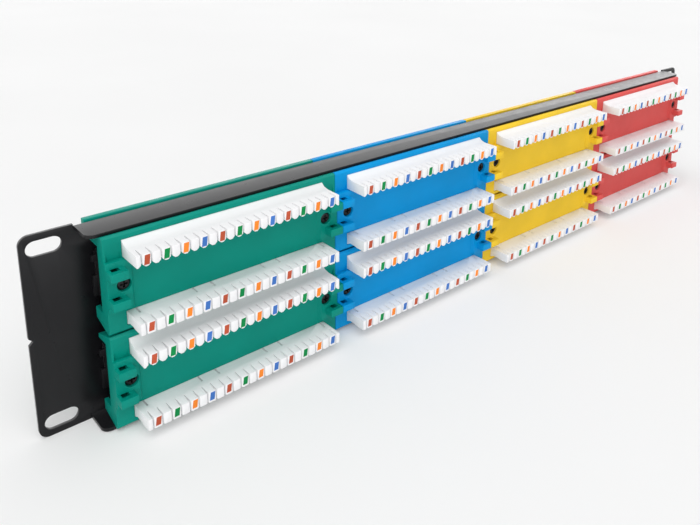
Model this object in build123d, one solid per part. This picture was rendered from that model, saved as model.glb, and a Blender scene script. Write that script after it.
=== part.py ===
from build123d import *
import os

# A 19-inch, two-unit patch panel with 48 ports in eight six-port modules.
# Frame: X along the panel, Y to the rear, Z up. The origin is the centre of the four rack slots
# on the rear face of the ears, so the jacks face -Y and the wiring strips face +Y.

# Folded sheet frame
panel_width = 482.6
panel_height = 88.1
sheet = 1.5
ear_width = 19.8
slot_inset_x = 8.75
slot_inset_z = 5.95
slot_length = 13.0
slot_width = 6.5
ear_corner_radius = 4.0
notch_height = 3.2
notch_depth = 1.6
flange_depth = 13.8
flange_step = 0.45
flange_corner_radius = 3.5
bend_radius = 2.1

# Module grid, between the ears
column_names = ["green", "blue", "yellow", "red"]
row_names = ["upper", "lower"]
column_margin = 4.3
row_margin = 1.05
column_gap = 0.3

# Front bezel
bezel_depth = 3.0
bezel_row_gap = 0.3
bezel_clearance = 0.25

# Jack housing
ports = 6
housing_side_gap = 2.7
housing_height = 20.0
housing_recess = 0.4
housing_end_wall = 1.2
housing_back_wall = 1.8
window_clearance = 0.3
jack_width = 11.9
jack_height = 6.9
latch_width = 6.2
latch_height = 2.6
hook_reach = 1.9
hook_thickness = 1.6
hook_seat = 0.3
low_hook_span = (-10.0, -1.0)
high_hook_span = (5.0, 8.0)

# Circuit board
board_thickness = 1.6
board_gap = 1.0
board_side_gap = 2.1
board_row_gap = 6.2

# Rear cover
cover_face = 16.6
cover_front = 4.0
cover_row_gap = 0.8
cover_wall = 1.2
cover_end_wall = 1.6
cover_back_wall = 2.0
cover_taper = 3.4
cover_edge_bevel = 0.9
end_window_top_inset = 5.1
end_window_bottom_inset = 8.1
end_window_depth = 7.0

# Wiring strips
strip_margin = 7.4
slot_count = 24
end_tooth_extra = 0.1
strip_reach = 13.4
comb_depth = 6.0
comb_gap = 0.55
strip_shoulder = 1.0
strip_clearance = 0.15
upper_strip_inset = 2.85
upper_strip_height = 7.05
lower_strip_inset = 2.6
lower_strip_height = 6.0
strip_step = 2.0
upper_step_run = (1.6, 4.6)
upper_step_drop = 1.4
lower_step_run = (2.8, 6.9)
upper_tooth_gap = 2.9
lower_tooth_gap = 1.2

# End brackets and screw seats on the rear cover
seat_inset = 6.45
seat_drop = 0.6
seat_diameter = 5.8
seat_sides = 8
seat_depth = 2.4
pad_inner = 9.8
pad_outer = 2.6
pad_rise = 1.7
arm_rise = 6.8
arm_slope_rise = 0.5
arm_tip = 3.2
arm_shoulder = 4.2
arm_outer = 0.3
arm_high_top = 6.2
arm_high_bottom = 2.8
arm_low_top = -5.2
arm_low_bottom = -8.8
ramp_top = 11.0
ramp_bottom = 6.9
ramp_depth = 1.5
ramp_inner = 7.4
ramp_outer = 1.0
low_slot_outer = 3.6
low_slot_height = 1.0

# How far a cut runs past the face that it opens, and how near an edge counts as on a plane
overcut = 1.0
skim = 0.01

# Worked out from the sizes above
half_width = panel_width / 2
half_height = panel_height / 2
flange_length = panel_width - 2 * ear_width
flange_outer = half_height - flange_step
flange_inner = flange_outer - sheet
column_pitch = (flange_length - 2 * column_margin) / len(column_names)
row_pitch = (panel_height - 2 * row_margin) / len(row_names)
bezel_width = column_pitch - column_gap
bezel_height = half_height - bezel_row_gap / 2
bezel_front = -sheet - bezel_depth
cover_length = column_pitch - column_gap
cover_height = row_pitch - cover_row_gap
cover_inner_face = cover_face - cover_back_wall
board_back = cover_inner_face - board_gap
board_front = board_back - board_thickness
board_width = column_pitch - 2 * board_side_gap
board_height = row_pitch - board_row_gap
housing_front = bezel_front + housing_recess
housing_length = column_pitch - 2 * housing_side_gap
port_pitch = (housing_length - 2 * housing_end_wall) / ports
jack_back = board_front - housing_back_wall
strip_length = column_pitch - 2 * strip_margin
tooth_pitch = (strip_length - 2 * end_tooth_extra) / slot_count
strip_tip = cover_face + strip_reach
shoulder_back = cover_inner_face - strip_clearance
upper_strip_base = cover_height / 2 - upper_strip_inset - upper_strip_height
lower_strip_top = lower_strip_inset + lower_strip_height - cover_height / 2


def block(x0, x1, y0, y1, z0, z1):
    """A box between two corners."""
    size = Box(x1 - x0, y1 - y0, z1 - z0)
    return Pos((x0 + x1) / 2, (y0 + y1) / 2, (z0 + z1) / 2) * size


def prism_x(points, x0, x1):
    """A profile of (y, z) points, drawn out along X."""
    face = make_face(Polyline([(x0, y, z) for y, z in points], close=True))
    return extrude(face, amount=x1 - x0, dir=(1, 0, 0))


def prism_y(points, y0, y1):
    """A profile of (x, z) points, drawn out along Y."""
    face = make_face(Polyline([(x, y0, z) for x, z in points], close=True))
    return extrude(face, amount=y1 - y0, dir=(0, 1, 0))


def prism_z(points, z0, z1):
    """A profile of (x, y) points, drawn out along Z."""
    face = make_face(Polyline([(x, y, z0) for x, y in points], close=True))
    return extrude(face, amount=z1 - z0, dir=(0, 0, 1))


def row_place(row):
    """A row's height above the panel's middle, in rows."""
    return (len(row_names) - 1) / 2 - row


def module_centre(column, row):
    """X and Z of a module's centre. Column 0 is at +X, row 0 on top."""
    x = ((len(column_names) - 1) / 2 - column) * column_pitch
    return x, row_place(row) * row_pitch


def make_frame():
    """The folded sheet: a channel between the flanges and an ear at each end."""
    wall = block(-flange_length / 2, flange_length / 2, -sheet, 0, -flange_outer, flange_outer)
    top = block(-flange_length / 2, flange_length / 2, -sheet, flange_depth, flange_inner, flange_outer)
    corners = top.edges().filter_by(Axis.Z).group_by(Axis.Y)[-1]
    top = fillet(corners, flange_corner_radius)
    channel = wall + top + mirror(top, about=Plane.XY)
    bends = [
        e for e in channel.edges().filter_by(Axis.X)
        if abs(e.center().Y + sheet) < skim and abs(abs(e.center().Z) - flange_outer) < skim
    ]
    channel = fillet(bends, bend_radius)

    ear = block(half_width - ear_width, half_width, -sheet, 0, -half_height, half_height)
    ear = fillet(ear.edges().filter_by(Axis.Y).group_by(Axis.X)[-1], ear_corner_radius)
    notch = prism_y(
        [(half_width - notch_depth, 0), (half_width + notch_depth, notch_height),
         (half_width + notch_depth, -notch_height)],
        -2 * sheet, sheet)
    ear = ear - notch
    slot = extrude(Plane.XZ * SlotOverall(slot_length, slot_width), amount=4 * sheet, both=True)
    for side in (1, -1):
        ear = ear - Pos(half_width - slot_inset_x, 0, side * (half_height - slot_inset_z)) * slot
    ears = [ear, mirror(ear, about=Plane.YZ)]
    frame = channel + ears

    length = housing_length + 2 * window_clearance
    height = housing_height + 2 * window_clearance
    windows = []
    for column in range(len(column_names)):
        for row in range(len(row_names)):
            x, z = module_centre(column, row)
            windows.append(block(x - length / 2, x + length / 2, -2 * sheet, sheet,
                                 z - height / 2, z + height / 2))
    return frame - windows


def make_bezel(row):
    """The coloured front plate of one module, round its jack housing, about the module's centre."""
    centre = row_place(row) * (bezel_height + bezel_row_gap - row_pitch)
    plate = block(-bezel_width / 2, bezel_width / 2, bezel_front, -sheet,
                  centre - bezel_height / 2, centre + bezel_height / 2)
    half = housing_length / 2 + bezel_clearance
    edge = housing_height / 2 + bezel_clearance
    return plate - block(-half, half, bezel_front - overcut, 0, -edge, edge)


def make_housing():
    """The black jack housing: six sockets, and snap hooks behind the frame."""
    half = housing_length / 2
    body = block(-half, half, housing_front, board_front, -housing_height / 2, housing_height / 2)
    low = -(jack_height + latch_height) / 2
    step = low + latch_height
    top = step + jack_height
    for k in range(ports):
        x = (k - (ports - 1) / 2) * port_pitch
        outline = [
            (x - jack_width / 2, step), (x - latch_width / 2, step), (x - latch_width / 2, low),
            (x + latch_width / 2, low), (x + latch_width / 2, step), (x + jack_width / 2, step),
            (x + jack_width / 2, top), (x - jack_width / 2, top)]
        body -= prism_y(outline, housing_front, jack_back)
    for low, high in (low_hook_span, high_hook_span):
        hook = block(half, half + hook_reach, hook_seat, hook_seat + hook_thickness, low, high)
        body = body + hook + mirror(hook, about=Plane.YZ)
    return body


def make_board():
    """The circuit board behind the jacks."""
    return block(-board_width / 2, board_width / 2, board_front, board_back,
                 -board_height / 2, board_height / 2)


def make_cover():
    """The coloured rear cover, open to the front, with brackets and screw seats at its ends."""
    half, edge = cover_length / 2, cover_height / 2
    front = edge - cover_taper
    bevel = cover_edge_bevel
    outer = [(cover_front, -front), (cover_face - bevel, -edge), (cover_face, -edge + bevel),
             (cover_face, edge - bevel), (cover_face - bevel, edge), (cover_front, front)]
    slope = cover_taper / (cover_face - bevel - cover_front)
    deep = cover_inner_face - cover_front
    inner = [(cover_front - overcut, -front + cover_wall + slope * overcut),
             (cover_inner_face, -front + cover_wall - slope * deep),
             (cover_inner_face, front - cover_wall + slope * deep),
             (cover_front - overcut, front - cover_wall - slope * overcut)]
    cover = prism_x(outer, -half, half)
    cover -= prism_x(inner, -half + cover_end_wall, half - cover_end_wall)

    window = block(half - cover_end_wall - overcut, half + overcut, cover_front - overcut,
                   cover_front + end_window_depth, end_window_bottom_inset - edge, edge - end_window_top_inset)
    cover = cover - window - mirror(window, about=Plane.YZ)

    end = make_bracket(half)
    cover = cover + end + mirror(end, about=Plane.YZ)
    pocket = make_pockets(half)
    cover = cover - pocket - mirror(pocket, about=Plane.YZ)

    length = strip_length / 2 + strip_clearance
    for low, high in ((upper_strip_base, upper_strip_base + upper_strip_height),
                      (lower_strip_top - lower_strip_height, lower_strip_top)):
        cover -= block(-length, length, cover_inner_face - overcut, cover_face + overcut,
                       low - strip_clearance, high + strip_clearance)
    return cover


def make_bracket(half):
    """The raised pad and the two outward arms at the +X end of a cover."""
    base = cover_inner_face
    pad = block(half - pad_inner, half - pad_outer, base, cover_face + pad_rise,
                arm_low_bottom, arm_high_top)
    side = [(half - pad_inner, base), (half - pad_inner, cover_face + pad_rise),
            (half - arm_shoulder, cover_face + pad_rise + arm_slope_rise),
            (half - arm_tip, cover_face + arm_rise),
            (half - arm_outer, cover_face + arm_rise), (half - arm_outer, base)]
    arms = [prism_z(side, arm_high_bottom, arm_high_top), prism_z(side, arm_low_bottom, arm_low_top)]
    post_half = seat_diameter / 2
    post = block(half - seat_inset - post_half, half - seat_inset + post_half, board_back, base,
                 -seat_drop - post_half, -seat_drop + post_half)
    return pad + arms + post


def make_pockets(half):
    """What is cut from a cover at its +X end: the screw seat, the ramp and a slot."""
    outline = Plane.XZ * RegularPolygon(seat_diameter / 2, seat_sides, rotation=180 / seat_sides)
    seat = Pos(half - seat_inset, cover_face + pad_rise, -seat_drop) * extrude(outline, amount=seat_depth, both=True)
    ramp = prism_x([(cover_face, ramp_top), (cover_face - ramp_depth, ramp_bottom),
                    (cover_face + overcut, ramp_bottom), (cover_face + overcut, ramp_top)],
                   half - ramp_inner, half - ramp_outer)
    low_slot = block(half - ramp_inner, half - low_slot_outer, cover_face, cover_face + pad_rise + overcut,
                     arm_low_top, arm_low_top + low_slot_height)
    return [seat, ramp, low_slot]


def comb_slots(bottom, top, foot):
    """Slots that widen downwards, so that the teeth between them narrow to their feet."""
    cuts = []
    for k in range(slot_count):
        x = (k - (slot_count - 1) / 2) * tooth_pitch
        outline = [(x - comb_gap / 2, top), (x - foot / 2, bottom),
                   (x + foot / 2, bottom), (x + comb_gap / 2, top)]
        cuts.append(prism_y(outline, strip_tip - comb_depth, strip_tip + overcut))
    return cuts


def make_upper_strip():
    """A strip with pointed teeth, and a hollow step along its top near the cover."""
    height = upper_strip_height
    low = height - strip_step
    half = strip_length / 2
    near, far = upper_step_run
    profile = [(board_back, 0), (strip_tip, 0), (strip_tip, low), (cover_face + far, low),
               (cover_face + near, height - upper_step_drop), (cover_face, height), (board_back, height)]
    strip = prism_x(profile, -half, half)
    strip += block(-half - strip_shoulder, half + strip_shoulder, board_back, shoulder_back,
                   -strip_shoulder, height)
    strip -= comb_slots(-skim, low + skim, upper_tooth_gap)
    return Pos(0, 0, upper_strip_base) * strip


def make_lower_strip():
    """A strip with blunt teeth, and a hollow step along its underside near the cover."""
    height = lower_strip_height
    half = strip_length / 2
    near, far = lower_step_run
    profile = [(board_back, 0), (board_back, strip_step - height), (cover_face + near, strip_step - height),
               (cover_face + far, -height), (strip_tip, -height), (strip_tip, 0)]
    strip = prism_x(profile, -half, half)
    strip += block(-half - strip_shoulder, half + strip_shoulder, board_back, shoulder_back,
                   strip_step - height, strip_shoulder)
    strip -= comb_slots(-height - skim, skim, lower_tooth_gap)
    return Pos(0, 0, lower_strip_top) * strip


def main():
    os.makedirs("parts", exist_ok=True)
    export_step(make_frame(), "parts/frame.step")
    housing = make_housing()
    board = make_board()
    cover = make_cover()
    upper_strip = make_upper_strip()
    lower_strip = make_lower_strip()
    for row, row_name in enumerate(row_names):
        pieces = {
            "jack_bezel": make_bezel(row),
            "jack_housing": housing,
            "circuit_board": board,
            "rear_cover": cover,
            "upper_strip": upper_strip,
            "lower_strip": lower_strip,
        }
        for column, column_name in enumerate(column_names):
            x, z = module_centre(column, row)
            for piece_name, piece in pieces.items():
                name = f"{column_name}_{row_name}_{piece_name}"
                export_step(Pos(x, 0, z) * piece, f"parts/{name}.step")


main()
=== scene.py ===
import math

import bpy
from mathutils import Matrix, Vector


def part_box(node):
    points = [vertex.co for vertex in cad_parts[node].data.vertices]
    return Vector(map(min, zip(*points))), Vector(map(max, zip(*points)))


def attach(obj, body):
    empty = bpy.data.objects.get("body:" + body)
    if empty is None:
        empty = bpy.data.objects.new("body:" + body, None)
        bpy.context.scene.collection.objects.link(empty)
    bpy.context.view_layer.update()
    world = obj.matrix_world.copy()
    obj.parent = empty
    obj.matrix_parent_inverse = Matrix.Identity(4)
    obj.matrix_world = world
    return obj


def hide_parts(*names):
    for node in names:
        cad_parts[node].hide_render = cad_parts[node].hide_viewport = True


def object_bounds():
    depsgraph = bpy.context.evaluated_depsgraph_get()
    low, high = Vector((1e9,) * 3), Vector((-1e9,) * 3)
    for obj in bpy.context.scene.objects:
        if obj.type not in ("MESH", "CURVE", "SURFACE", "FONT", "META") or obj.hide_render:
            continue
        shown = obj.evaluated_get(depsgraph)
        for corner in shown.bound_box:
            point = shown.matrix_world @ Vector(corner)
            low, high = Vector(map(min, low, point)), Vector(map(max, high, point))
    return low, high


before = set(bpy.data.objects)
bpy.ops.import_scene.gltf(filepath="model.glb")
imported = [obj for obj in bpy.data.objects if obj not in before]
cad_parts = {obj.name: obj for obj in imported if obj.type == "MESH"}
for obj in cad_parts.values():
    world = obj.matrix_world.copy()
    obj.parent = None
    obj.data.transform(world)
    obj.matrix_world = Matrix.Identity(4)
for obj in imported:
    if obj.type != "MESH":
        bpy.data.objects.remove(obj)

MM = 0.001
cad_box = [list(corner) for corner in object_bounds()]

# The modules, as the CAD names them
COLUMNS = ["green", "blue", "yellow", "red"]
ROWS = ["upper", "lower"]

# Jack sockets
PORTS = 6
PORT_PITCH = 16.8 * MM
CONTACTS = 8
CONTACT_PITCH = 1.02 * MM
CONTACT_WIDTH = 0.36 * MM
SOCKET_TOP = 4.75 * MM
WIRE_GAP = 0.35 * MM
WIRE_SPAN = (1.6 * MM, 9.0 * MM)
WIRE_BEND = 5.0 * MM
WIRE_DROP = 3.2 * MM

# Widths of the rounded edges
FRAME_EDGE = 0.22 * MM
BEZEL_EDGE = 0.25 * MM
HOUSING_EDGE = 0.12 * MM
COVER_EDGE = 0.28 * MM
STRIP_EDGE = 0.1 * MM

# Rear cover
COVER_FACE = 16.6 * MM
PAD_RISE = 1.7 * MM
PAD_LENGTH = 10.8 * MM
PAD_SLOPE = 1.3 * MM
PAD_HEIGHT = 21.0 * MM
BRACKET_LIFT = 0.2 * MM
BRACKET_ROOT = 1.9 * MM
ARM_LENGTH = 6.8 * MM
ARM_HEIGHT = 3.6 * MM
ARM_RISE = 6.6 * MM
ARM_CENTRES = (6.4 * MM, -6.0 * MM)
SEAT_INSET = 6.5 * MM
SEAT_RADIUS = 2.9 * MM
SEAT_DEPTH = 2.4 * MM
CATCH_SPAN = (1.4 * MM, 4.6 * MM)
CATCH_REACH = 2.5 * MM
CATCH_DEPTH = 2.4 * MM
CATCH_LIP = 0.05 * MM
CATCH_ROOT = COVER_FACE - 3.0 * MM
RAMP_SPAN = (0.9 * MM, 6.6 * MM)
RAMP_FOOT = 10.7 * MM
RAMP_HEIGHT = 4.0 * MM
RAMP_DEPTH = 1.2 * MM
OVERCUT = 1.0 * MM

# Cover screws
SCREW_RADIUS = 2.6 * MM
SCREW_HEIGHT = 1.8 * MM
SCREW_EDGE = 0.7 * MM
CROSS_LENGTH = 3.0 * MM
CROSS_WIDTH = 0.8 * MM
CROSS_FLOOR = -0.2 * MM

# Wiring strips
SLOTS = 24
STRIP_LENGTH = 93.8 * MM
STRIP_TIP = 30.0 * MM
TOOTH_PITCH = 3.9 * MM
SLOT_WIDTH = 0.7 * MM
SLOT_ROOT = 0.26 * MM
COMB_DEPTH = 6.0 * MM
MARK_THICKNESS = 0.04 * MM
MARK_WIDTH = 2.15 * MM
MARK_SLANT = 0.5 * MM
MARK_MARGIN = 0.12 * MM
MARK_TOP = 0.35 * MM
MARK_CORNER = 0.5 * MM
BLADE_THICKNESS = 0.26 * MM
BLADE_ROOT = 0.2 * MM
BLADE_SETBACK = 2.4 * MM
BLADE_INSETS = (1.4 * MM, 0.7 * MM)
MARK_COLOURS = ["brown", "clean", "green", "clean", "orange", "clean", "blue", "clean"]
NOTCH_PLACES = [3.7 * MM, 27.7 * MM, 35.7 * MM, 59.7 * MM, 67.7 * MM, 91.7 * MM]
NOTCH_SIZE = (0.75 * MM, 4.2 * MM, 1.7 * MM)

# Each strip's (y, z) profile and the (x, z) profile cut between two feet, in millimetres.
# Heights count from the top of the teeth, and the front leaves room for the marks.
STRIP_ROOT = 13.6
STRIP_FRONT = 29.96
UPPER_TOOTH = 5.05
LOWER_TOOTH = 5.0
UPPER_STRIP = {
    "drop": 2.0 * MM, "height": UPPER_TOOTH * MM, "mark": 4.1 * MM,
    "profile": [(STRIP_ROOT, 2.0), (16.6, 2.0), (18.2, 0.6), (21.2, 0.0), (STRIP_FRONT, 0.0),
                (STRIP_FRONT, -UPPER_TOOTH), (STRIP_ROOT, -UPPER_TOOTH)],
    "between": [(0.0, 1.3), (0.85, 0.5), (1.4, 0.0), (1.6, -0.3), (-1.6, -0.3), (-1.4, 0.0), (-0.85, 0.5)],
}
LOWER_STRIP = {
    "drop": 1.0 * MM, "height": LOWER_TOOTH * MM, "mark": 3.75 * MM,
    "profile": [(STRIP_ROOT, 0.0), (STRIP_FRONT, 0.0), (STRIP_FRONT, -LOWER_TOOTH),
                (24.0, -LOWER_TOOTH), (22.0, -4.6), (19.0, -4.6), (16.6, -5.8), (STRIP_ROOT, -5.8)],
    "between": [(0.0, 0.7), (0.4, 0.2), (0.8, 0.0), (1.0, -0.3), (-1.0, -0.3), (-0.8, 0.0), (-0.4, 0.2)],
}

# Camera, fitted to the photograph
PHOTO_WIDTH = 700
FOCAL_PIXELS = 756.41
SENSOR_WIDTH = 36.0
CAMERA_PLACE = Vector((311.1, 295.09, 174.81)) * MM
CAMERA_AZIMUTH = math.radians(-135.368)
CAMERA_ELEVATION = math.radians(-14.465)
CAMERA_ROLL = math.radians(2.132)
CAMERA_SHIFT = (-0.15, -0.25)

# Light
KEY_PLACE = (0.5, 0.75, 1.35)
KEY_POWER = 1.45
KEY_SPREAD = 60.0
SIDE_PLACE = (1.0, 1.4, 0.35)
SIDE_POWER = 6.0
SIDE_SIZE = (1.2, 0.8)
SKY_POWER = 0.62
WALL_GAIN = 2.2
FLOOR_GLOW = 0.08
FLOOR_SIZE = 12.0


def only(*pieces):
    """Selects these objects alone, with the first one active."""
    bpy.ops.object.select_all(action="DESELECT")
    for piece in pieces:
        piece.select_set(True)
    bpy.context.view_layer.objects.active = pieces[0]


def edit_all(piece):
    """Opens a piece in edit mode with everything selected."""
    only(piece)
    bpy.ops.object.mode_set(mode="EDIT")
    bpy.ops.mesh.select_all(action="SELECT")


def close_edit():
    bpy.ops.object.mode_set(mode="OBJECT")


def settle(piece):
    """Puts a piece's place into its mesh, so that the object sits at the origin."""
    only(piece)
    bpy.ops.object.transform_apply(location=True, rotation=True, scale=True)


def finish_mesh(piece, angle=32):
    """Recalculates the normals and shades the piece."""
    edit_all(piece)
    bpy.ops.mesh.normals_make_consistent(inside=False)
    close_edit()
    only(piece)
    bpy.ops.object.shade_smooth_by_angle(angle=math.radians(angle))


def soften(piece, width, segments=2, angle=30):
    """Rounds the sharp edges."""
    bevel = piece.modifiers.new("rounded edges", "BEVEL")
    bevel.width = width
    bevel.segments = segments
    bevel.limit_method = "ANGLE"
    bevel.angle_limit = math.radians(angle)
    bevel.use_clamp_overlap = True
    only(piece)
    bpy.ops.object.modifier_apply(modifier=bevel.name)


def block(name, low, high):
    """A box between two corners, with its place in its mesh."""
    size = [b - a for a, b in zip(low, high)]
    centre = [(a + b) / 2 for a, b in zip(low, high)]
    bpy.ops.object.select_all(action="DESELECT")
    bpy.ops.mesh.primitive_cube_add(size=1, location=centre, scale=size)
    piece = bpy.context.object
    piece.name = name
    settle(piece)
    return piece


def prism(name, profile, axis, low, high):
    """A profile over the other two axes, drawn out along one axis."""
    bpy.ops.object.select_all(action="DESELECT")
    bpy.ops.mesh.primitive_circle_add(vertices=len(profile), fill_type="NGON")
    piece = bpy.context.object
    piece.name = name
    first, second = [k for k in range(3) if k != axis]
    for vertex, point in zip(piece.data.vertices, profile):
        vertex.co[axis] = low
        vertex.co[first] = point[0]
        vertex.co[second] = point[1]
    step = [0, 0, 0]
    step[axis] = high - low
    edit_all(piece)
    bpy.ops.mesh.extrude_region_move(TRANSFORM_OT_translate={"value": step})
    bpy.ops.mesh.select_all(action="SELECT")
    bpy.ops.mesh.normals_make_consistent(inside=False)
    close_edit()
    return piece


def joined(name, pieces):
    """Joins pieces into one mesh."""
    only(*pieces)
    if len(pieces) > 1:
        bpy.ops.object.join()
    piece = bpy.context.object
    piece.name = name
    return piece


def copied(piece, name, offset):
    """A copy with its own mesh, moved by an offset."""
    only(piece)
    bpy.ops.object.duplicate(linked=False)
    twin = bpy.context.object
    twin.name = name
    bpy.ops.transform.translate(value=offset)
    settle(twin)
    return twin


def dress(piece, *materials):
    piece.data.materials.clear()
    for material in materials:
        piece.data.materials.append(material)


def place_on_panel(piece):
    """Rides the piece on the panel."""
    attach(piece, "root")


def refined(node, name):
    """A merged copy of a CAD node, with its flat faces made whole."""
    piece = bpy.data.objects.new(name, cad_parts[node].data.copy())
    bpy.context.scene.collection.objects.link(piece)
    edit_all(piece)
    bpy.ops.mesh.remove_doubles(threshold=1e-6)
    bpy.ops.mesh.dissolve_limited(angle_limit=math.radians(0.5))
    close_edit()
    return piece


def keep_inside(piece, node):
    """Moves back what a rounded corner pushes past the node's own box."""
    low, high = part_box(node)
    for vertex in piece.data.vertices:
        for k in range(3):
            vertex.co[k] = min(max(vertex.co[k], low[k]), high[k])


# Materials

def new_material(name):
    """A node material and its shader, with object coordinates."""
    material = bpy.data.materials.new(name)
    material.use_nodes = True
    nodes, links = material.node_tree.nodes, material.node_tree.links
    shader = nodes["Principled BSDF"]
    place = nodes.new("ShaderNodeTexCoord")
    return material, nodes, links, shader, place.outputs["Object"]


def add_noise(nodes, links, place, scale, detail=3.0):
    noise = nodes.new("ShaderNodeTexNoise")
    noise.inputs["Scale"].default_value = scale
    noise.inputs["Detail"].default_value = detail
    links.new(place, noise.inputs["Vector"])
    return noise.outputs["Fac"]


def spread(nodes, links, value, low, high):
    """Maps a noise value to a range."""
    mapping = nodes.new("ShaderNodeMapRange")
    mapping.inputs["From Min"].default_value = 0.3
    mapping.inputs["From Max"].default_value = 0.7
    mapping.inputs["To Min"].default_value = low
    mapping.inputs["To Max"].default_value = high
    links.new(value, mapping.inputs["Value"])
    return mapping.outputs["Result"]


def two_tones(nodes, links, value, first, second):
    """A colour between two tones, led by a noise value."""
    ramp = nodes.new("ShaderNodeValToRGB")
    ramp.color_ramp.elements[0].position = 0.35
    ramp.color_ramp.elements[0].color = (*first, 1)
    ramp.color_ramp.elements[1].position = 0.65
    ramp.color_ramp.elements[1].color = (*second, 1)
    links.new(value, ramp.inputs["Fac"])
    return ramp.outputs["Color"]


def add_bump(nodes, links, shader, height, strength, distance):
    bump = nodes.new("ShaderNodeBump")
    bump.inputs["Strength"].default_value = strength
    bump.inputs["Distance"].default_value = distance
    links.new(height, bump.inputs["Height"])
    links.new(bump.outputs["Normal"], shader.inputs["Normal"])


def moulded_plastic(name, colour, roughness=0.42, grain=0.12, variation=0.05, shine=0.12):
    """Moulded plastic: a little cloudy, with a fine grain."""
    material, nodes, links, shader, place = new_material(name)
    darker = [c * (1 - variation) for c in colour]
    lighter = [min(1.0, c * (1 + variation)) for c in colour]
    cloud = add_noise(nodes, links, place, 45.0)
    links.new(two_tones(nodes, links, cloud, darker, lighter), shader.inputs["Base Color"])
    smear = add_noise(nodes, links, place, 160.0, 4.0)
    links.new(spread(nodes, links, smear, roughness - 0.05, roughness + 0.07), shader.inputs["Roughness"])
    fine = add_noise(nodes, links, place, 2600.0, 2.0)
    add_bump(nodes, links, shader, fine, grain, 0.00004)
    shader.inputs["IOR"].default_value = 1.5
    shader.inputs["Specular IOR Level"].default_value = shine
    return material


def powder_coat():
    """Black powder coat on steel, with its orange-peel surface."""
    material, nodes, links, shader, place = new_material("black powder coat")
    cloud = add_noise(nodes, links, place, 30.0)
    links.new(two_tones(nodes, links, cloud, (0.004, 0.004, 0.005), (0.006, 0.006, 0.007)),
              shader.inputs["Base Color"])
    smear = add_noise(nodes, links, place, 220.0, 4.0)
    links.new(spread(nodes, links, smear, 0.27, 0.35), shader.inputs["Roughness"])
    peel = add_noise(nodes, links, place, 1400.0, 2.0)
    add_bump(nodes, links, shader, peel, 0.2, 0.00005)
    shader.inputs["IOR"].default_value = 1.5
    shader.inputs["Specular IOR Level"].default_value = 0.26
    return material


def plated_metal(name, colour, roughness=0.28):
    """Plated contacts."""
    material, nodes, links, shader, place = new_material(name)
    cloud = add_noise(nodes, links, place, 300.0)
    darker = [c * 0.88 for c in colour]
    links.new(two_tones(nodes, links, cloud, darker, colour), shader.inputs["Base Color"])
    scratch = add_noise(nodes, links, place, 1500.0, 4.0)
    links.new(spread(nodes, links, scratch, roughness - 0.06, roughness + 0.1), shader.inputs["Roughness"])
    shader.inputs["Metallic"].default_value = 1.0
    return material


def floor_material():
    """A pale floor that stays near white to the camera and in reflections."""
    material, nodes, links, shader, place = new_material("pale floor")
    cloud = add_noise(nodes, links, place, 3.0)
    links.new(two_tones(nodes, links, cloud, (0.80, 0.80, 0.80), (0.82, 0.82, 0.82)),
              shader.inputs["Base Color"])
    shader.inputs["Roughness"].default_value = 0.8
    shader.inputs["Specular IOR Level"].default_value = 0.08
    shader.inputs["Emission Color"].default_value = (1, 1, 1, 1)
    shader.inputs["Emission Strength"].default_value = FLOOR_GLOW
    return material


PLASTICS = {
    "green": moulded_plastic("green plastic", (0.0, 0.235, 0.18)),
    "blue": moulded_plastic("blue plastic", (0.0, 0.265, 0.60)),
    "yellow": moulded_plastic("yellow plastic", (0.79, 0.525, 0.03)),
    "red": moulded_plastic("red plastic", (0.62, 0.082, 0.076)),
}
WHITE = moulded_plastic("white plastic", (0.80, 0.80, 0.81), 0.42, 0.06, 0.01)
BLACK = moulded_plastic("black plastic", (0.006, 0.006, 0.007), 0.42, 0.15, 0.15)
BOARD = moulded_plastic("board lacquer", (0.02, 0.11, 0.05), 0.3, 0.05, 0.1)
PAINT = powder_coat()
# Tin darkened well below its own colour: painted shade inside the wiring strips' slots.
SHADE_DARKENED_TIN = plated_metal("tinned contact in painted slot shade", (0.30, 0.30, 0.30), 0.4)
GOLD = plated_metal("gilt contact", (0.95, 0.70, 0.30))
SCREW = plated_metal("blackened screw", (0.03, 0.03, 0.032), 0.42)
INKS = {
    "brown": moulded_plastic("brown ink", (0.46, 0.085, 0.04), 0.5, 0.04, 0.1),
    "green": moulded_plastic("green ink", (0.004, 0.23, 0.06), 0.5, 0.04, 0.1),
    "orange": moulded_plastic("orange ink", (0.87, 0.24, 0.03), 0.5, 0.04, 0.1),
    "blue": moulded_plastic("blue ink", (0.055, 0.17, 0.50), 0.5, 0.04, 0.1),
}
INK_ORDER = list(INKS)


# The folded frame and the moulded pieces

def make_frame():
    """The folded sheet with eased edges."""
    piece = refined("frame", "folded_frame")
    soften(piece, FRAME_EDGE)
    finish_mesh(piece)
    dress(piece, PAINT)
    place_on_panel(piece)
    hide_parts("frame")


def make_moulding(node, name, material, edge):
    """A moulded piece that keeps its CAD shape, with eased edges."""
    piece = refined(node, name)
    soften(piece, edge)
    keep_inside(piece, node)
    finish_mesh(piece)
    dress(piece, material)
    place_on_panel(piece)
    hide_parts(node)


def combine(piece, tool, operation):
    """Adds or subtracts a tool piece, and removes the tool."""
    change = piece.modifiers.new("change", "BOOLEAN")
    change.operation = operation
    change.object = tool
    only(piece)
    bpy.ops.object.modifier_apply(modifier=change.name)
    bpy.data.objects.remove(tool)


def cut_away(piece, cutter):
    combine(piece, cutter, "DIFFERENCE")


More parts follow.
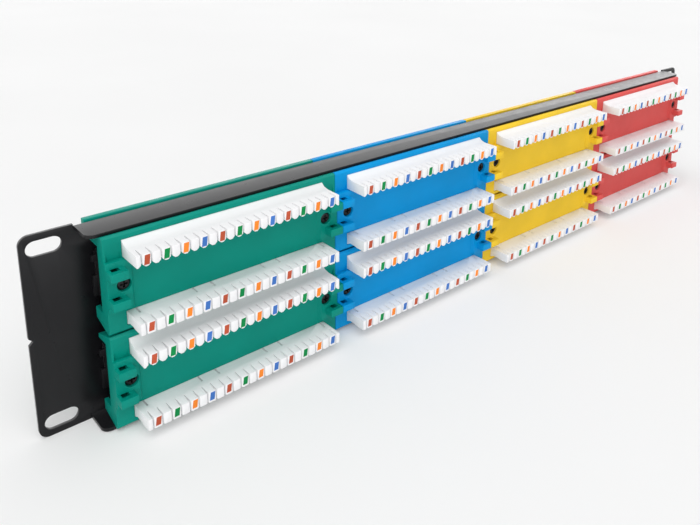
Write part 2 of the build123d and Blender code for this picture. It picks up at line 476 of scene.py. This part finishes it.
def bracket_body():
    """The pad and arms at the end of a cover, with the end at X = 0 and the inside at -X."""
    lift = BRACKET_LIFT
    body = prism("bracket", [(-PAD_LENGTH, COVER_FACE - BRACKET_ROOT), (-PAD_LENGTH, COVER_FACE),
                             (PAD_SLOPE - PAD_LENGTH, COVER_FACE + PAD_RISE), (0, COVER_FACE + PAD_RISE),
                             (0, COVER_FACE - BRACKET_ROOT)],
                 2, lift - PAD_HEIGHT / 2, lift + PAD_HEIGHT / 2)
    for z in ARM_CENTRES:
        arm = block("arm", (-ARM_LENGTH, COVER_FACE, z - ARM_HEIGHT / 2),
                    (0, COVER_FACE + ARM_RISE, z + ARM_HEIGHT / 2))
        combine(body, arm, "UNION")
    return body


def bracket_cutters():
    """The screw seat, the catches and the ramp above the pad, at the same place."""
    surface = COVER_FACE + PAD_RISE
    bpy.ops.object.select_all(action="DESELECT")
    bpy.ops.mesh.primitive_cylinder_add(vertices=32, radius=SEAT_RADIUS, depth=2 * SEAT_DEPTH,
                                        location=(-SEAT_INSET, surface, BRACKET_LIFT),
                                        rotation=(math.radians(90), 0, 0))
    seat = bpy.context.object
    settle(seat)
    cutters = [seat]
    near, far = CATCH_SPAN
    for z in ARM_CENTRES:
        top = z + ARM_HEIGHT / 2
        below = top - CATCH_LIP
        outline = [(CATCH_ROOT, top - CATCH_DEPTH), (surface + CATCH_REACH, top - CATCH_DEPTH),
                   (surface + CATCH_REACH, top + OVERCUT), (surface, top + OVERCUT), (surface, below),
                   (CATCH_ROOT, below)]
        cutters.append(prism("catch", outline, 0, -far, -near))
    near, far = RAMP_SPAN
    outside = COVER_FACE + OVERCUT
    ramp_top = RAMP_FOOT + RAMP_HEIGHT * (1 + OVERCUT / RAMP_DEPTH)
    outline = [(COVER_FACE - RAMP_DEPTH, RAMP_FOOT), (outside, RAMP_FOOT), (outside, ramp_top)]
    cutters.append(prism("ramp", outline, 0, -far, -near))
    return joined("bracket cutters", cutters)


def at_both_ends(tool, box, name):
    """Copies of a tool at both ends of a cover, turned to face each other, as one piece."""
    low, high = box
    middle = (low[2] + high[2]) / 2
    first = copied(tool, name, (high[0], 0, middle))
    second = copied(tool, name, (0, 0, middle))
    for vertex in second.data.vertices:
        vertex.co.x = low[0] - vertex.co.x
    edit_all(second)
    bpy.ops.mesh.normals_make_consistent(inside=False)
    close_edit()
    return joined(name, [first, second])


def make_cover(node, name, material):
    """A rear cover with its brackets, their catches and ramps, and eased edges."""
    piece = refined(node, name)
    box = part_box(node)
    low, high = box
    cut_away(piece, block("old brackets", (low[0] - OVERCUT, COVER_FACE, low[2]),
                          (high[0] + OVERCUT, high[1] + OVERCUT, high[2])))
    combine(piece, at_both_ends(BRACKET, box, "brackets"), "UNION")
    cut_away(piece, at_both_ends(BRACKET_CUTTERS, box, "cutters"))
    edit_all(piece)
    bpy.ops.mesh.dissolve_limited(angle_limit=math.radians(0.5))
    close_edit()
    soften(piece, COVER_EDGE)
    finish_mesh(piece)
    dress(piece, material)
    place_on_panel(piece)
    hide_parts(node)


def repeated(piece, offset, count):
    """Repeats a piece's mesh along an offset."""
    array = piece.modifiers.new("repeat", "ARRAY")
    array.use_relative_offset = False
    array.use_constant_offset = True
    array.constant_offset_displace = offset
    array.count = count
    only(piece)
    bpy.ops.object.modifier_apply(modifier=array.name)


def make_screw():
    """A cross-head screw about the origin, with its head towards +Y."""
    bpy.ops.object.select_all(action="DESELECT")
    bpy.ops.mesh.primitive_cylinder_add(vertices=24, radius=SCREW_RADIUS, depth=SCREW_HEIGHT,
                                        rotation=(math.radians(90), 0, 0))
    head = bpy.context.object
    head.name = "screw"
    settle(head)
    soften(head, SCREW_EDGE, 3, 60)
    for length, width in ((CROSS_LENGTH, CROSS_WIDTH), (CROSS_WIDTH, CROSS_LENGTH)):
        cut_away(head, block("cross", (-length / 2, CROSS_FLOOR, -width / 2),
                             (length / 2, SCREW_HEIGHT, width / 2)))
    finish_mesh(head)
    dress(head, SCREW)
    return head


def make_screws():
    """Two screws in the seats of every rear cover."""
    first = make_screw()
    y = COVER_FACE + PAD_RISE - SEAT_DEPTH + SCREW_HEIGHT / 2
    for colour in COLUMNS:
        for row in ROWS:
            low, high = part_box(f"{colour}_{row}_rear_cover")
            z = (low[2] + high[2]) / 2 + BRACKET_LIFT
            for side, x in (("left", high[0] - SEAT_INSET), ("right", low[0] + SEAT_INSET)):
                screw = copied(first, f"{colour}_{row}_{side}_screw", (x, y, z))
                place_on_panel(screw)
    bpy.data.objects.remove(first)


def make_contact_wires(node, name):
    """Eight sprung wires in each socket of a jack housing."""
    low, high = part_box(node)
    centre_z = (low[2] + high[2]) / 2
    centre_x = (low[0] + high[0]) / 2
    x = centre_x - PORT_PITCH * (PORTS - 1) / 2 - CONTACT_PITCH * (CONTACTS - 1) / 2
    top = centre_z + SOCKET_TOP - WIRE_GAP
    wire = block(name, (x - CONTACT_WIDTH / 2, low[1] + WIRE_SPAN[0], top - CONTACT_WIDTH),
                 (x + CONTACT_WIDTH / 2, low[1] + WIRE_SPAN[1], top))
    for vertex in wire.data.vertices:
        if vertex.co.y > low[1] + WIRE_BEND:
            vertex.co.z -= WIRE_DROP
    repeated(wire, (CONTACT_PITCH, 0, 0), CONTACTS)
    repeated(wire, (PORT_PITCH, 0, 0), PORTS)
    finish_mesh(wire)
    dress(wire, GOLD)
    place_on_panel(wire)


# Wiring strips

def in_metres(points):
    return [(a * MM, b * MM) for a, b in points]


def strip_body(name, shape):
    """A white strip about its middle and its top, with slots that narrow towards their roots."""
    half = STRIP_LENGTH / 2
    body = prism(name, in_metres(shape["profile"]), 0, -half, half)
    first = -TOOTH_PITCH * (SLOTS - 1) / 2
    root = STRIP_TIP - COMB_DEPTH
    mouth = STRIP_TIP + OVERCUT
    narrow = SLOT_ROOT / 2
    wide = narrow + (SLOT_WIDTH - SLOT_ROOT) / 2 * (mouth - root) / COMB_DEPTH
    foot = -shape["height"]
    slot = prism("slots", [(first - narrow, root), (first + narrow, root), (first + wide, mouth),
                           (first - wide, mouth)], 2, foot - OVERCUT, OVERCUT)
    repeated(slot, (TOOTH_PITCH, 0, 0), SLOTS)
    cut_away(body, slot)
    between = [(first + x, foot + z) for x, z in in_metres(shape["between"])]
    gap = prism("gaps", between, 1, root, mouth)
    repeated(gap, (TOOTH_PITCH, 0, 0), SLOTS)
    cut_away(body, gap)
    if shape is LOWER_STRIP:
        cut_away(body, notch_cutter())
    edit_all(body)
    bpy.ops.mesh.dissolve_limited(angle_limit=math.radians(0.5))
    close_edit()
    soften(body, STRIP_EDGE)
    finish_mesh(body)
    dress(body, WHITE)
    return body


def notch_cutter():
    """Small blocks for the notches along the back of a lower strip's top."""
    cutters = []
    half = NOTCH_SIZE[0] / 2
    for place in NOTCH_PLACES:
        x = STRIP_LENGTH / 2 - place
        cutters.append(block("notch", (x - half, COVER_FACE - OVERCUT, -NOTCH_SIZE[2]),
                             (x + half, COVER_FACE + NOTCH_SIZE[1], OVERCUT)))
    return joined("notches", cutters)


def strip_marks(name, shape):
    """Coloured marks on every other tooth, with their feet slanted towards +X."""
    marks = []
    width = TOOTH_PITCH - SLOT_WIDTH
    top = -MARK_TOP
    bottom = top - shape["mark"]
    for k in range(SLOTS - 1):
        colour = MARK_COLOURS[k % len(MARK_COLOURS)]
        if colour == "clean":
            continue
        left = TOOTH_PITCH * ((SLOTS - 2) / 2 - k) - width / 2 + MARK_MARGIN
        right = left + MARK_WIDTH
        mark = prism("mark", [(left, top), (right, top), (right + MARK_SLANT, bottom),
                              (left + MARK_SLANT, bottom)], 1, STRIP_TIP - 1.5 * MARK_THICKNESS, STRIP_TIP)
        soften(mark, MARK_CORNER, 3, 80)
        dress(mark, *INKS.values())
        for polygon in mark.data.polygons:
            polygon.material_index = INK_ORDER.index(colour)
        marks.append(mark)
    return joined(name, marks)


def strip_blades(name, shape):
    """The contact blade inside each slot, its tin darkened well below its own colour as painted shade in
    the slot.
    """
    x = -TOOTH_PITCH * (SLOTS - 1) / 2
    half = BLADE_THICKNESS / 2
    below, above = BLADE_INSETS
    blade = block(name, (x - half, STRIP_TIP - COMB_DEPTH - BLADE_ROOT, below - shape["height"]),
                  (x + half, STRIP_TIP - BLADE_SETBACK, -above))
    repeated(blade, (TOOTH_PITCH, 0, 0), SLOTS)
    dress(blade, SHADE_DARKENED_TIN)
    return blade


def make_strips(kind, shape):
    """A strip with its marks and blades, modelled once and set in every module."""
    body = strip_body(f"{kind}_body", shape)
    marks = strip_marks(f"{kind}_marks", shape)
    blades = strip_blades(f"{kind}_blades", shape)
    for colour in COLUMNS:
        for row in ROWS:
            node = f"{colour}_{row}_{kind}_strip"
            low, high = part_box(node)
            place = ((low[0] + high[0]) / 2, 0, high[2] - shape["drop"])
            strip = copied(body, f"{colour}_{row}_{kind}_wiring_strip", place)
            place_on_panel(strip)
            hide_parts(node)
            place_on_panel(copied(marks, strip.name + "_marks", place))
            place_on_panel(copied(blades, strip.name + "_contacts", place))
    for piece in (body, marks, blades):
        bpy.data.objects.remove(piece)


# Camera, floor and light

def make_camera():
    """The photograph's camera, as far as a modest lens shift allows."""
    forward = Vector((math.cos(CAMERA_ELEVATION) * math.cos(CAMERA_AZIMUTH),
                      math.cos(CAMERA_ELEVATION) * math.sin(CAMERA_AZIMUTH), math.sin(CAMERA_ELEVATION)))
    right = forward.cross(Vector((0, 0, 1))).normalized()
    up = right.cross(forward)
    turned_right = math.cos(CAMERA_ROLL) * right + math.sin(CAMERA_ROLL) * up
    turned_up = -math.sin(CAMERA_ROLL) * right + math.cos(CAMERA_ROLL) * up
    data = bpy.data.cameras.new("camera")
    data.sensor_width = SENSOR_WIDTH
    data.lens = FOCAL_PIXELS * SENSOR_WIDTH / PHOTO_WIDTH
    data.shift_x, data.shift_y = CAMERA_SHIFT
    data.clip_start = 0.01
    camera = bpy.data.objects.new("camera", data)
    bpy.context.scene.collection.objects.link(camera)
    turn = Matrix((turned_right, turned_up, -forward)).transposed().to_4x4()
    camera.matrix_world = Matrix.Translation(CAMERA_PLACE) @ turn
    bpy.context.scene.camera = camera


def make_floor():
    """A wide pale floor under the panel's lower edge."""
    bottom = cad_box[0][2]
    bpy.ops.object.select_all(action="DESELECT")
    bpy.ops.mesh.primitive_plane_add(size=FLOOR_SIZE, location=(0, 0, bottom))
    floor = bpy.context.object
    floor.name = "floor"
    dress(floor, floor_material())


def aimed(name, kind, place, power):
    """A light that looks at the middle of the panel."""
    data = bpy.data.lights.new(name, kind)
    data.energy = power
    light = bpy.data.objects.new(name, data)
    bpy.context.scene.collection.objects.link(light)
    light.location = place
    light.rotation_euler = (-Vector(place)).to_track_quat("-Z", "Y").to_euler()
    return data


def make_lights():
    """A broad key light from above, a soft side panel and an even sky."""
    key = aimed("key", "SUN", KEY_PLACE, KEY_POWER)
    key.angle = math.radians(KEY_SPREAD)
    side = aimed("side", "AREA", SIDE_PLACE, SIDE_POWER)
    side.shape = "RECTANGLE"
    side.size, side.size_y = SIDE_SIZE
    world = bpy.data.worlds.new("studio")
    bpy.context.scene.world = world
    world.use_nodes = True
    nodes, links = world.node_tree.nodes, world.node_tree.links
    background = nodes["Background"]
    background.inputs["Color"].default_value = (1, 1, 1, 1)
    background.inputs["Strength"].default_value = SKY_POWER
    bright = nodes.new("ShaderNodeBackground")
    path = nodes.new("ShaderNodeLightPath")
    walls = nodes.new("ShaderNodeMath")
    walls.operation = "MULTIPLY_ADD"
    walls.inputs[1].default_value = WALL_GAIN
    walls.inputs[2].default_value = 1.0
    links.new(path.outputs["Is Glossy Ray"], walls.inputs[0])
    links.new(walls.outputs["Value"], bright.inputs["Strength"])
    seen = nodes.new("ShaderNodeMath")
    seen.operation = "MAXIMUM"
    links.new(path.outputs["Is Camera Ray"], seen.inputs[0])
    links.new(path.outputs["Is Glossy Ray"], seen.inputs[1])
    passed = nodes.new("ShaderNodeMath")
    passed.operation = "MAXIMUM"
    links.new(seen.outputs["Value"], passed.inputs[0])
    links.new(path.outputs["Is Transmission Ray"], passed.inputs[1])
    mix = nodes.new("ShaderNodeMixShader")
    links.new(passed.outputs["Value"], mix.inputs["Fac"])
    links.new(background.outputs["Background"], mix.inputs[1])
    links.new(bright.outputs["Background"], mix.inputs[2])
    links.new(mix.outputs["Shader"], nodes["World Output"].inputs["Surface"])


make_frame()
BRACKET = bracket_body()
BRACKET_CUTTERS = bracket_cutters()
for colour in COLUMNS:
    for row in ROWS:
        stem = f"{colour}_{row}"
        make_cover(f"{stem}_rear_cover", f"{stem}_cover", PLASTICS[colour])
        make_moulding(f"{stem}_jack_bezel", f"{stem}_bezel", PLASTICS[colour],
                      BEZEL_EDGE)
        make_moulding(f"{stem}_jack_housing", f"{stem}_housing", BLACK, HOUSING_EDGE)
        dress(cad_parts[f"{stem}_circuit_board"], BOARD)
        make_contact_wires(f"{stem}_jack_housing", f"{stem}_contact_wires")
make_strips("upper", UPPER_STRIP)
make_strips("lower", LOWER_STRIP)
make_screws()
bpy.data.objects.remove(BRACKET)
bpy.data.objects.remove(BRACKET_CUTTERS)

make_camera()
make_floor()
make_lights()
bpy.context.scene.view_settings.view_transform = "Standard"
